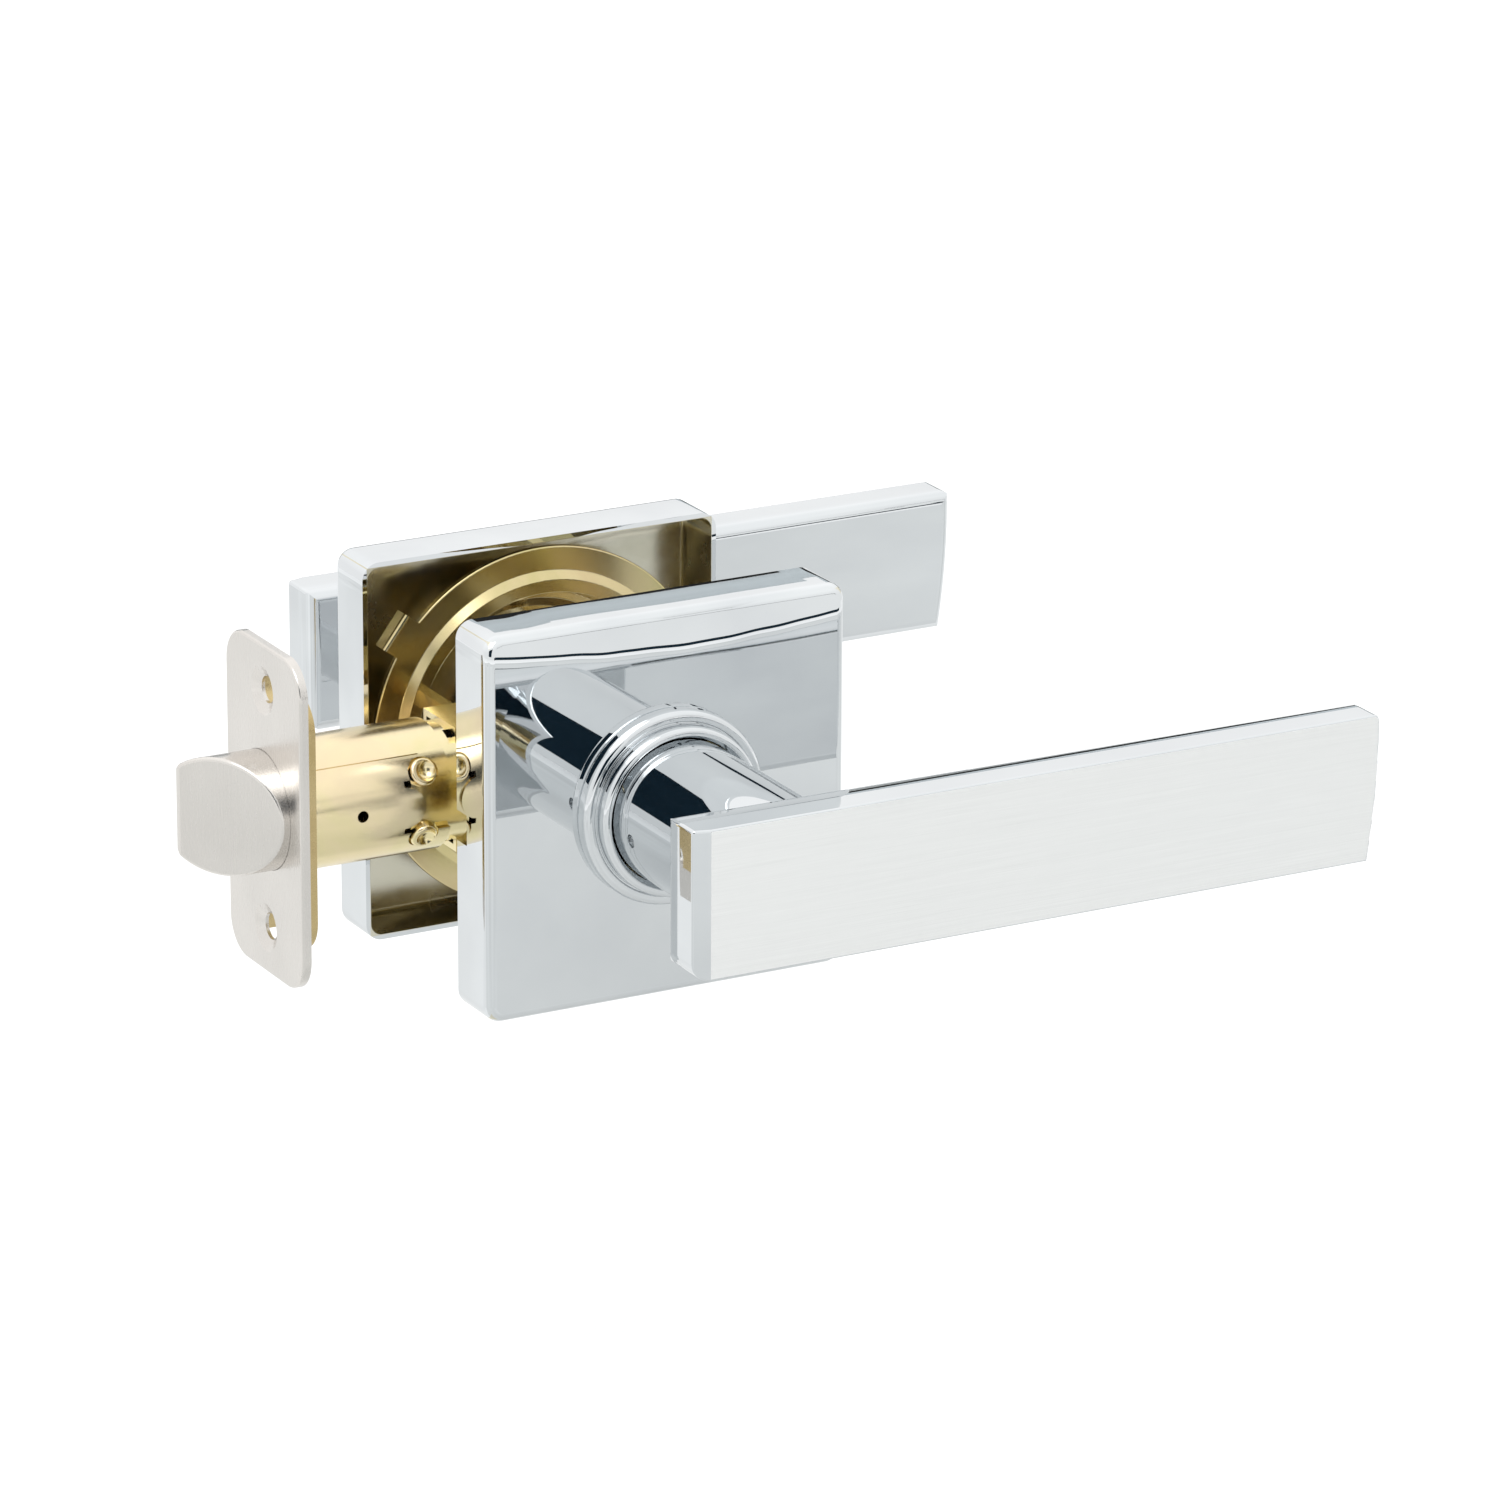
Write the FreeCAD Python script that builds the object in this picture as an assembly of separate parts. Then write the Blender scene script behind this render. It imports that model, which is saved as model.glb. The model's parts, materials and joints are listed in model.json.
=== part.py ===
import FreeCAD, Part
import math
import os

# Passage door lever set with a tubular latch.
# Millimetres. Origin on the spindle axis at the middle of the door's thickness.
# +X points along the levers, away from the door's edge; +Z is up.
# The front set is on the -Y side of the door and the rear set on the +Y side.

# ---------------------------------------------------------------- driving dimensions
DOOR = 35.0                 # door thickness between the two roses (1-3/8 in)
BACKSET = 60.325            # door edge to spindle axis (2-3/8 in)

ROSE = 67.0                 # square rose cover, side
ROSE_DEPTH = 11.0
ROSE_WALL = 0.9
ROSE_CORNER_R = 3.0
ROSE_EDGE_R = 1.7
ROSE_HOLE_R = 14.25
NOTCH_HEIGHT = 5.3          # pry notch in the rose wall on the latch side
NOTCH_DEPTH = 3.6
NOTCH_Z = -1.6

COLLAR_R = 16.9             # outer band of the collar
COLLAR_STEP_R = 14.7        # front band of the collar
COLLAR_BAND = 2.9
COLLAR_LENGTH = 5.5
COLLAR_SKIRT = 1.05         # how far the collar reaches through the rose
COLLAR_BORE_R = 12.6
COLLAR_GROOVE = 0.3         # width and depth of the line between the two bands
COLLAR_LIP = 0.8            # width of the collar's end face round the neck

PLATE_R = 31.8              # mounting plate (2-1/2 in)
PLATE_T = 1.2
PLATE_FLOOR = 6.5           # depth of the dish below the door face
PLATE_FLOOR_R = 19.6
PLATE_STEP = 4.6            # depth of the step between the floor and the rib
PLATE_STEP_R = 21.4
RIB = 1.2                   # how far the rib stands into the door's cross bore
RIB_IN_R = 23.9
RIB_R = 26.2                # the rib locates in a 54 mm (2-1/8 in) bore
RIM_R = 27.6                # inner edge of the rim that lies on the door
TAB_REACH = 34.5            # the two rim tabs that hold the rose cover
TAB_ANGLE = 37.0
TAB_WIDTH = 7.0
TAB_BEND = 3.2
TAB_BEND_R = 0.9
PRONG_X = -23.6             # prong bent from the dish into the door's bore
PRONG_T = 2.0
PRONG_Z = 7.2
PRONG_WIDTH = 3.0
PRONG_REACH = 9.5

BUSH_R = 10.6               # bearing bush in the mounting plate
BUSH_FLANGE_R = 12.2
BUSH_FLANGE_T = 1.0
BUSH_ROLL = 0.2             # how far the bush is rolled over the plate's dish
SPRING_R = 11.0             # torsion spring that lifts the lever
SPRING_WIRE_R = 0.45
SPRING_TURNS = 2.0
SPRING_START = 4.9          # its outer end, from the door face
SPRING_SPAN = 2.3

HUB_R = 8.5                 # drive sleeve that carries the lever
HUB_CAVITY_R = 6.6
HUB_DOG_R = 12.4            # dog plate on the door end of the hub
HUB_DOG_IN = 0.6
HUB_DOG_OUT = 2.0
RUNNING = 0.06              # radial running clearance
SNAP_GROOVE_R = 7.6
SNAP_RING_R = 10.6
SNAP_RING_T = 1.0
SNAP_RING_Y = 8.2           # its door side, from the door face
SNAP_GAP = 5.0

NECK_R = 12.5
NECK_END = 12.0             # door end of the neck, from the door face
BAR_FRONT = 58.5            # front of the bar, from the door face
BAR_THICK_HUB = 9.7
BAR_THICK_TIP = 8.2
BAR_HEIGHT = 25.6
BAR_LEFT = 20.3             # bar behind the spindle axis
BAR_RIGHT = 108.7           # bar beyond the spindle axis
BAR_TIP_BOW = 0.6
BAR_TIP_LEAN = 1.7
BAR_HEEL_R = 3.0
BAR_BACK_R = 2.0
BAR_RIM_R = 0.4
BAR_HEEL_TOP_R = 0.6
BAR_TIP_TOP_R = 1.1
BAR_BEVEL_WIDTH = 3.1
BAR_BEVEL_DEPTH = 0.9
LEVER_BORE_END = 40.5       # blind end of the lever's bore, from the door face

SPINDLE = 7.5               # square spindle
SPINDLE_HALF = 33.0
SOCKET_END = 12.5           # hub socket's outer end, from the door face
SPINDLE_CHAMFER = 0.5
SQUARE_GAP = 0.05

CATCH_Y = 21.5              # lever catch, from the door face
CATCH_Z = -1.3
CATCH_R = 1.1
CATCH_TIP = 1.5             # how far the pin's end lies below the neck's surface
CATCH_HEAD_R = 2.0
CATCH_HEAD_T = 1.0
CATCH_HEAD_X = -5.7         # head's shoulder, inside the hub's cavity
CATCH_SPRING_R = 1.3
CATCH_SPRING_WIRE_R = 0.25
CATCH_SPRING_TURNS = 7.0
CATCH_SPRING_SPAN = 9.7
CATCH_SPRING_X = -4.3

POST_Z = 16.5               # mounting posts above and below the spindle
POST_R = 3.0
POST_END = 6.0              # free end of a post, from the middle of the door
POST_BORE = 20.0            # depth of its screw bore
RIVET_R = 2.5
RIVET_PROUD = 0.2
SCREW_R = 2.0
SCREW_HEAD_R = 3.8
SCREW_HEAD_T = 2.1
SCREW_TIP = -10.0
SCREW_HOLE_GAP = 0.3
SLOT_WIDTH = 1.0            # cross slot in a screw's head
SLOT_DEPTH = 0.9

FACE_W = 28.575             # latch faceplate (1-1/8 x 2-1/4 in)
FACE_H = 57.15
FACE_T = 1.6
FACE_CORNER_R = 6.35
FACE_HOLE_SPACING = 41.3
FACE_HOLE_R = 2.3
FACE_SINK_R = 4.2
FACE_EDGE_R = 0.5
SINK_DEPTH = 1.0
BACK_W = 27.0               # brass plate behind the faceplate
BACK_H = 44.0
BACK_T = 1.6
BACK_CORNER_R = 5.85
BACK_GAP = 0.1              # round the bolt
BACK_SLOT_GAP = 0.4         # round each screw

BOLT_R = 10.2
BOLT_FLAT = 6.8
BOLT_THROW = 12.7
BOLT_LENGTH = 22.0
BOLT_LAND = 1.0             # flat strip left at the bolt's tip, beside its slant
BOLT_HEEL = 1.4             # where the slant ends, in front of the faceplate
BOLT_EDGE_R = 0.6
BOLT_CUP_R = 7.0            # hollow in the bolt's back that holds the spring
BOLT_CUP = 8.0
STEM_R = 3.0
STEM_HEAD_R = 4.2
STEM_HEAD_X = -24.4
STEM_HEAD_T = 1.9
LATCH_SPRING_R = 5.2
LATCH_SPRING_WIRE_R = 0.5
LATCH_SPRING_TURNS = 9.0
LATCH_SPRING_GAP = 0.1      # left at the cup, and twice that at the seat
TUBE_R = 11.1
TUBE_WALL = 0.8
TUBE_END = -31.0
TONGUE_X = -36.0
TONGUE_R = 3.6
WINDOW_HALF = 4.6
SIGHT_X = 12.8              # sight hole, from the faceplate's front
SIGHT_R = 1.0
SEAM = 0.22                 # width and depth of the rolled tube's seam
SEAM_ANGLE = 47.0
STAKE_X = -35.8             # the staked dimples that join tube and case
STAKE_ANGLE = 30.0
STAKE_R = 2.7
STAKE_PROUD = 0.55
DENT_R = 2.0                # ball-shaped dent in each dimple
DENT_RISE = 1.0             # its centre above the dimple's top
DENT_SHIFT = 0.3
STAKE_EDGE = 0.35           # gap round the case's dimple in the tube's hole
CASE_R = 10.25
CASE_START = -38.0
CASE_NECK = -28.0           # where the round case turns into a flat one
CASE_END = 15.0
CASE_HALF_Y = 6.0
CASE_HALF_Z = 10.9
CASE_WALL = 1.1
CASE_SKIRT = 0.85           # wall of the round part
SEAT_T = 1.2                # washer that the bolt's spring pushes on
SEAT_GAP = 1.0

CAM_R = 7.3
CAM_JOURNAL_R = 6.2
CAM_HALF = 4.6
FINGER_R = 9.6
FINGER_W = 3.0
FINGER_REST = 25.0          # lean of the cam finger towards the bolt at rest, degrees
CAM_PROUD = 0.4             # cam's journals beyond the case
RETRACTOR_X = -26.5         # wall that pulls the stem's head
RETRACTOR_WALL = 2.0
RETRACTOR_ARM_T = 1.4
RETRACTOR_ARM_GAP = 0.45    # between the arms and the cam
RETRACTOR_END = -0.3
RETRACTOR_LUG = 1.3
FINGER_SLOT_X = -12.0       # slot in the upper arm for the cam's finger
FINGER_GAP = 0.5

# ---------------------------------------------------------------- worked-out positions
DOOR_FACE = -DOOR / 2                   # front set; the rear set is its mirror image
FACE_X = -BACKSET
TUBE_START = FACE_X + FACE_T + BACK_T
BOLT_TIP = FACE_X - BOLT_THROW
BOLT_BACK = BOLT_TIP + BOLT_LENGTH
X_AXIS = FreeCAD.Vector(1, 0, 0)
Y_AXIS = FreeCAD.Vector(0, 1, 0)
Z_AXIS = FreeCAD.Vector(0, 0, 1)


def vec(x, y, z):
    return FreeCAD.Vector(x, y, z)


def out(distance):
    """Y of a plane of the front set that far out from the door face."""
    return DOOR_FACE - distance


def box(x0, x1, y0, y1, z0, z1):
    """Box between two corners, given in any order."""
    low = vec(min(x0, x1), min(y0, y1), min(z0, z1))
    return Part.makeBox(abs(x1 - x0), abs(y1 - y0), abs(z1 - z0), low)


def rod_y(radius, y0, y1, x=0.0, z=0.0):
    return Part.makeCylinder(radius, abs(y1 - y0), vec(x, min(y0, y1), z), Y_AXIS)


def rod_x(radius, x0, x1, y=0.0, z=0.0):
    return Part.makeCylinder(radius, abs(x1 - x0), vec(min(x0, x1), y, z), X_AXIS)


def rounded_wire(corners):
    """Closed wire through (point, radius) corners, each rounded with an arc."""
    count = len(corners)
    starts, ends, arcs = [], [], []
    for i, (corner, radius) in enumerate(corners):
        before = corners[i - 1][0] - corner
        after = corners[(i + 1) % count][0] - corner
        before.normalize()
        after.normalize()
        if radius <= 0:
            starts.append(corner)
            ends.append(corner)
            arcs.append(None)
            continue
        half = before.getAngle(after) / 2
        reach = radius / math.tan(half)
        middle = before + after
        middle.normalize()
        centre = corner + middle * (radius / math.sin(half))
        starts.append(corner + before * reach)
        ends.append(corner + after * reach)
        arcs.append(centre - middle * radius)
    edges = []
    for i in range(count):
        if arcs[i] is not None:
            edges.append(Part.Arc(starts[i], arcs[i], ends[i]).toShape())
        nxt = (i + 1) % count
        if (starts[nxt] - ends[i]).Length > 1e-6:
            edges.append(Part.LineSegment(ends[i], starts[nxt]).toShape())
    return Part.Wire(edges)


def turned(profile):
    """Ring turned about the spindle axis from (radius, y, corner radius) points."""
    corners = [(vec(r, y, 0), rounding) for r, y, rounding in profile]
    face = Part.Face(rounded_wire(corners))
    return face.revolve(vec(0, 0, 0), Y_AXIS, 360)


def plate_x(width, height, corner_r, x0, x1):
    """Plate across X with rounded corners."""
    w, h = width / 2, height / 2
    corners = [(vec(x0, y, z), corner_r) for y, z in ((-w, -h), (w, -h), (w, h), (-w, h))]
    return Part.Face(rounded_wire(corners)).extrude(vec(x1 - x0, 0, 0))


def coil(radius, wire_r, turns, start, length, axis):
    """Round-wire coil with its axis through start."""
    helix = Part.makeHelix(length / turns, length, radius)
    section = Part.Wire([Part.makeCircle(wire_r, vec(radius, 0, 0), Y_AXIS)])
    spring = Part.Wire(helix).makePipeShell([section], True, True)
    spring.Placement = FreeCAD.Placement(start, FreeCAD.Rotation(Z_AXIS, axis))
    return spring


def mirrored(shape):
    """The rear set's copy of a front part."""
    return shape.mirror(vec(0, 0, 0), Y_AXIS)


# ---------------------------------------------------------------- rose, collar, plate
def rose_cover():
    half = ROSE / 2

    def block(inset, corner_r, edge_r, depth):
        size = half - inset
        corners = [(vec(x, out(0), z), corner_r)
                   for x, z in ((-size, -size), (size, -size), (size, size), (-size, size))]
        solid = Part.Face(rounded_wire(corners)).extrude(vec(0, -depth, 0))
        rim = [e for e in solid.Edges
               if all(abs(v.Y - out(depth)) < 1e-6 for v in e.Vertexes)]
        return solid.makeFillet(edge_r, rim)

    shell = block(0, ROSE_CORNER_R, ROSE_EDGE_R, ROSE_DEPTH)
    inside = block(ROSE_WALL, ROSE_CORNER_R - ROSE_WALL, ROSE_EDGE_R - ROSE_WALL,
                   ROSE_DEPTH - ROSE_WALL)
    shell = shell.cut(inside)
    shell = shell.cut(rod_y(ROSE_HOLE_R, out(-1), out(ROSE_DEPTH + 1)))
    notch = box(-half - 1, -half + 2 * ROSE_WALL, out(-1), out(NOTCH_DEPTH),
                NOTCH_Z - NOTCH_HEIGHT / 2, NOTCH_Z + NOTCH_HEIGHT / 2)
    return shell.cut(notch)


def rose_collar():
    face = out(ROSE_DEPTH)
    band = face - COLLAR_BAND
    nose = face - COLLAR_LENGTH
    skirt = out(ROSE_DEPTH - COLLAR_SKIRT)
    return turned([
        (COLLAR_BORE_R, skirt, 0), (ROSE_HOLE_R, skirt, 0.3), (ROSE_HOLE_R, face, 0),
        (COLLAR_R, face, 0.5), (COLLAR_R, band, 1.3), (COLLAR_STEP_R + COLLAR_GROOVE, band, 0.3),
        (COLLAR_STEP_R + COLLAR_GROOVE, band + COLLAR_GROOVE, 0.1),
        (COLLAR_STEP_R, band + COLLAR_GROOVE, 0.1),
        (COLLAR_STEP_R, nose, 1.0), (COLLAR_BORE_R + COLLAR_LIP, nose, 0.3),
        (COLLAR_BORE_R, nose + 1.5 * COLLAR_LIP, 0)])


def offset_profile(path, thickness):
    """Points of a bent sheet's other side, from (radius, depth) points of the first."""
    normals = []
    for (r0, d0), (r1, d1) in zip(path, path[1:]):
        length = math.hypot(r1 - r0, d1 - d0)
        normals.append((-(d1 - d0) / length, (r1 - r0) / length))
    other = []
    for i, (r, d) in enumerate(path):
        a = normals[max(i - 1, 0)]
        b = normals[min(i, len(normals) - 1)]
        scale = thickness / (1 + a[0] * b[0] + a[1] * b[1])
        other.append((r + (a[0] + b[0]) * scale, d + (a[1] + b[1]) * scale))
    return other


def mounting_plate(post_hole_r):
    # door side of the pressed plate, from its bush hole out to its rim
    door_side = [(BUSH_R, PLATE_FLOOR), (PLATE_FLOOR_R, PLATE_FLOOR),
                 (PLATE_STEP_R, PLATE_STEP), (RIB_IN_R - 1, PLATE_STEP),
                 (RIB_IN_R, -RIB), (RIB_R, -RIB), (RIM_R, 0), (PLATE_R, 0)]
    rose_side = offset_profile(door_side, PLATE_T)
    profile = [(r, out(d), 0.3) for r, d in door_side + rose_side[::-1]]
    profile[0] = (BUSH_R, out(PLATE_FLOOR), 0)
    profile[-1] = (BUSH_R, out(PLATE_FLOOR + PLATE_T), 0)
    plate = turned(profile)
    for turn in (TAB_ANGLE, TAB_ANGLE + 180):
        # rim tab that runs towards a corner of the rose and is bent away from the door
        arm = box(PLATE_R - 1.5, TAB_REACH, out(0), out(PLATE_T), -TAB_WIDTH / 2, TAB_WIDTH / 2)
        lip = box(TAB_REACH - PLATE_T, TAB_REACH, out(0), out(TAB_BEND),
                  -TAB_WIDTH / 2, TAB_WIDTH / 2)
        tab = arm.fuse(lip).removeSplitter()
        bend = [e for e in tab.Edges
                if all(abs(v.X - TAB_REACH) < 1e-6 and abs(v.Y - out(0)) < 1e-6
                       for v in e.Vertexes)]
        tab = tab.makeFillet(TAB_BEND_R, bend)
        tab.rotate(vec(0, 0, 0), Y_AXIS, turn)
        plate = plate.fuse(tab)
    for side in (-1, 1):
        hole = rod_y(post_hole_r, out(PLATE_FLOOR - 1), out(PLATE_FLOOR + 2 * PLATE_T),
                     z=side * POST_Z)
        plate = plate.cut(hole)
    # the prong reaches into the door's bore beside the latch and stops the plate turning
    prong = box(PRONG_X, PRONG_X + PRONG_T, out(-PRONG_REACH), out(PLATE_STEP + PLATE_T / 2),
                PRONG_Z, PRONG_Z + PRONG_WIDTH)
    return plate.fuse(prong).removeSplitter()


def bearing_bush():
    floor = out(PLATE_FLOOR)
    flange = out(PLATE_FLOOR - BUSH_FLANGE_T)
    end = out(PLATE_FLOOR + PLATE_T + BUSH_ROLL)
    bore = HUB_R + RUNNING
    return turned([(bore, flange, 0.2), (BUSH_FLANGE_R, flange, 0.2), (BUSH_FLANGE_R, floor, 0),
                   (BUSH_R, floor, 0), (BUSH_R, end, 0.2), (bore, end, 0)])


def return_spring():
    """Torsion spring round the hub, between the bush's flange and the hub's dog."""
    start = vec(0, out(SPRING_START), 0)
    return coil(SPRING_R, SPRING_WIRE_R, SPRING_TURNS, start, SPRING_SPAN, Y_AXIS)


# ---------------------------------------------------------------- lever and its hub
def lever():
    front = out(BAR_FRONT)
    half = BAR_HEIGHT / 2
    left, bottom_tip = -BAR_LEFT, BAR_RIGHT - BAR_TIP_LEAN
    bow = vec((BAR_RIGHT + bottom_tip) / 2 + BAR_TIP_BOW, front, 0)
    tip = Part.Arc(vec(bottom_tip, front, -half), bow, vec(BAR_RIGHT, front, half)).toShape()
    rest = Part.makePolygon([vec(BAR_RIGHT, front, half), vec(left, front, half),
                             vec(left, front, -half), vec(bottom_tip, front, -half)])
    elevation = Part.Face(Part.Wire([tip] + rest.Edges)).extrude(vec(0, BAR_THICK_HUB, 0))
    # seen from above: the back tapers towards the tip, the heel has a shallow bevel
    low = -half - 1
    plan_points = [vec(left, front + BAR_BEVEL_DEPTH, low),
                   vec(left + BAR_BEVEL_WIDTH, front, low),
                   vec(BAR_RIGHT + 2, front, low),
                   vec(BAR_RIGHT + 2, front + BAR_THICK_TIP, low),
                   vec(left, front + BAR_THICK_HUB, low)]
    plan = Part.Face(Part.makePolygon(plan_points + plan_points[:1]))
    bar = elevation.common(plan.extrude(vec(0, 0, BAR_HEIGHT + 2)))
    back = [e for e in bar.Edges
            if all(v.Y > front + BAR_THICK_TIP - 0.2 for v in e.Vertexes)]
    bar = bar.makeFillet(BAR_BACK_R, back)
    # rounded heel corner at the bottom, and a small one at each top corner
    for x, z, radius in ((left, -half, BAR_HEEL_R), (left, half, BAR_HEEL_TOP_R),
                         (BAR_RIGHT, half, BAR_TIP_TOP_R)):
        corner = box(x - radius, x + radius, front - 1, 0, z - radius, z + radius)
        inner_x = x + radius if x < 0 else x - radius
        inner_z = z + radius if z < 0 else z - radius
        keep = rod_y(radius, front - 2, 1, x=inner_x, z=inner_z)
        keep = keep.fuse(box(inner_x, 2 * inner_x - x, front - 2, 1, z - radius, z + radius))
        keep = keep.fuse(box(x - radius, x + radius, front - 2, 1, inner_z, 2 * inner_z - z))
        bar = bar.cut(corner.cut(keep))
    rim = [e for e in bar.Edges
           if all(v.Y < front + BAR_BEVEL_DEPTH + 0.01 for v in e.Vertexes)
           and not all(abs(v.X - (left + BAR_BEVEL_WIDTH)) < 0.01 for v in e.Vertexes)]
    bar = bar.makeFillet(BAR_RIM_R, rim)
    neck = rod_y(NECK_R, front + BAR_THICK_TIP - 3, out(NECK_END))
    shape = bar.fuse(neck).removeSplitter()
    shape = shape.cut(rod_y(HUB_R + RUNNING, out(LEVER_BORE_END), out(NECK_END - 1)))
    return shape.cut(rod_x(CATCH_R + RUNNING, -NECK_R - 1, 0, out(CATCH_Y), CATCH_Z))


def square(size, y0, y1):
    return box(-size / 2, size / 2, y0, y1, -size / 2, size / 2)


def snap_band(radius, rounding):
    """Ring as wide as the snap ring, from the bottom of its groove out to a radius."""
    door_side, outer_side = out(SNAP_RING_Y), out(SNAP_RING_Y + SNAP_RING_T)
    return turned([(SNAP_GROOVE_R, door_side, 0), (radius, door_side, rounding),
                   (radius, outer_side, rounding), (SNAP_GROOVE_R, outer_side, 0)])


def lever_hub():
    end = out(LEVER_BORE_END)
    hub = rod_y(HUB_R, end, out(HUB_DOG_IN))
    hub = hub.fuse(rod_y(HUB_DOG_R, out(HUB_DOG_IN), out(HUB_DOG_OUT))).removeSplitter()
    hub = hub.cut(rod_y(HUB_CAVITY_R, end - 1, out(SOCKET_END)))
    hub = hub.cut(square(SPINDLE + 2 * SQUARE_GAP, out(SOCKET_END + 1), out(-1)))
    hub = hub.cut(snap_band(HUB_R + 1, 0))
    return hub.cut(rod_x(CATCH_R + RUNNING, -HUB_R - 1, 0, out(CATCH_Y), CATCH_Z))


def snap_ring():
    ring = snap_band(SNAP_RING_R, 0.2)
    return ring.cut(box(-SNAP_GAP / 2, SNAP_GAP / 2, out(SNAP_RING_Y - 1), out(SNAP_RING_Y + 2),
                        -SNAP_RING_R - 1, 0))


def lever_catch():
    pin = rod_x(CATCH_R, CATCH_TIP - NECK_R, CATCH_HEAD_X, out(CATCH_Y), CATCH_Z)
    head = rod_x(CATCH_HEAD_R, CATCH_HEAD_X, CATCH_HEAD_X + CATCH_HEAD_T, out(CATCH_Y), CATCH_Z)
    return pin.fuse(head).removeSplitter()


def catch_spring():
    start = vec(CATCH_SPRING_X, out(CATCH_Y), CATCH_Z)
    return coil(CATCH_SPRING_R, CATCH_SPRING_WIRE_R, CATCH_SPRING_TURNS, start,
                CATCH_SPRING_SPAN, X_AXIS)


# ---------------------------------------------------------------- what joins the sets
def spindle():
    bar = square(SPINDLE, -SPINDLE_HALF, SPINDLE_HALF)
    long_edges = [e for e in bar.Edges if e.Length > SPINDLE + 1]
    return bar.makeChamfer(SPINDLE_CHAMFER, long_edges)


def threaded_posts():
    """Two posts riveted into the front plate; the screws pull them to the rear plate."""
    posts = []
    for side in (-1, 1):
        z = side * POST_Z
        post = rod_y(POST_R, out(PLATE_FLOOR), POST_END, z=z)
        rivet_end = out(PLATE_FLOOR + PLATE_T + RIVET_PROUD)
        post = post.fuse(rod_y(RIVET_R, out(PLATE_FLOOR), rivet_end, z=z))
        bore = rod_y(SCREW_R, POST_END - POST_BORE, POST_END + 1, z=z)
        posts.append(post.cut(bore).removeSplitter())
    return Part.makeCompound(posts)


def mounting_screws():
    """Two machine screws through the rear plate into the posts."""
    screws = []
    seat = -out(PLATE_FLOOR + PLATE_T)
    for side in (-1, 1):
        z = side * POST_Z
        head_end = seat + SCREW_HEAD_T
        screw = rod_y(SCREW_R, SCREW_TIP, seat + 0.5, z=z)
        screw = screw.fuse(rod_y(SCREW_HEAD_R, seat, head_end, z=z)).removeSplitter()
        for x_half, z_half in ((SCREW_HEAD_R, SLOT_WIDTH / 2), (SLOT_WIDTH / 2, SCREW_HEAD_R)):
            screw = screw.cut(box(-x_half, x_half, head_end - SLOT_DEPTH, head_end + 1,
                                  z - z_half, z + z_half))
        screws.append(screw)
    return Part.makeCompound(screws)


# ---------------------------------------------------------------- latch
def bolt_opening(clearance, x0, x1):
    opening = rod_x(BOLT_R + clearance, x0, x1)
    return opening.cut(box(x0 - 1, x1 + 1, BOLT_FLAT + clearance, BOLT_R + 2, -20, 20))


def latch_faceplate():
    plate = plate_x(FACE_W, FACE_H, FACE_CORNER_R, FACE_X, FACE_X + FACE_T)
    front = [e for e in plate.Edges if all(abs(v.X - FACE_X) < 1e-6 for v in e.Vertexes)]
    plate = plate.makeFillet(FACE_EDGE_R, front)
    plate = plate.cut(bolt_opening(RUNNING, FACE_X - 1, FACE_X + FACE_T + 1))
    for side in (-1, 1):
        z = side * FACE_HOLE_SPACING / 2
        sink = Part.makeCone(FACE_SINK_R, FACE_HOLE_R, SINK_DEPTH, vec(FACE_X, 0, z), X_AXIS)
        plate = plate.cut(rod_x(FACE_HOLE_R, FACE_X - 1, FACE_X + FACE_T + 1, z=z)).cut(sink)
    return plate


def latch_backplate():
    x0, x1 = FACE_X + FACE_T, TUBE_START
    plate = plate_x(BACK_W, BACK_H, BACK_CORNER_R, x0, x1)
    plate = plate.cut(rod_x(BOLT_R + BACK_GAP, x0 - 1, x1 + 1))
    slot = FACE_HOLE_R + BACK_SLOT_GAP
    for side in (-1, 1):
        z = side * FACE_HOLE_SPACING / 2
        plate = plate.cut(rod_x(slot, x0 - 1, x1 + 1, z=z))
        plate = plate.cut(box(x0 - 1, x1 + 1, -slot, slot, z, side * BACK_H))
    return plate


def at_stakes(shape):
    """Copies of a shape on the tube's -Y side, where tube and case are staked together."""
    copies = []
    for turn in (STAKE_ANGLE, -STAKE_ANGLE, 180 - STAKE_ANGLE, 180 + STAKE_ANGLE):
        copy = shape.copy()
        copy.rotate(vec(0, 0, 0), X_AXIS, -turn)
        copies.append(copy)
    return copies


def dimple():
    """Domed peg pressed out of the case, dented in the middle."""
    root, top = CASE_R - 0.6, TUBE_R + STAKE_PROUD
    peg = rod_y(STAKE_R - STAKE_EDGE, -top, -root, x=STAKE_X)
    rim = [e for e in peg.Edges
           if abs(e.CenterOfMass.y + top) < 1e-6 and e.Length > STAKE_R]
    peg = peg.makeFillet(STAKE_PROUD - 0.05, rim)
    return peg.cut(Part.makeSphere(DENT_R, vec(STAKE_X + DENT_SHIFT, -top - DENT_RISE, 0)))


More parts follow.
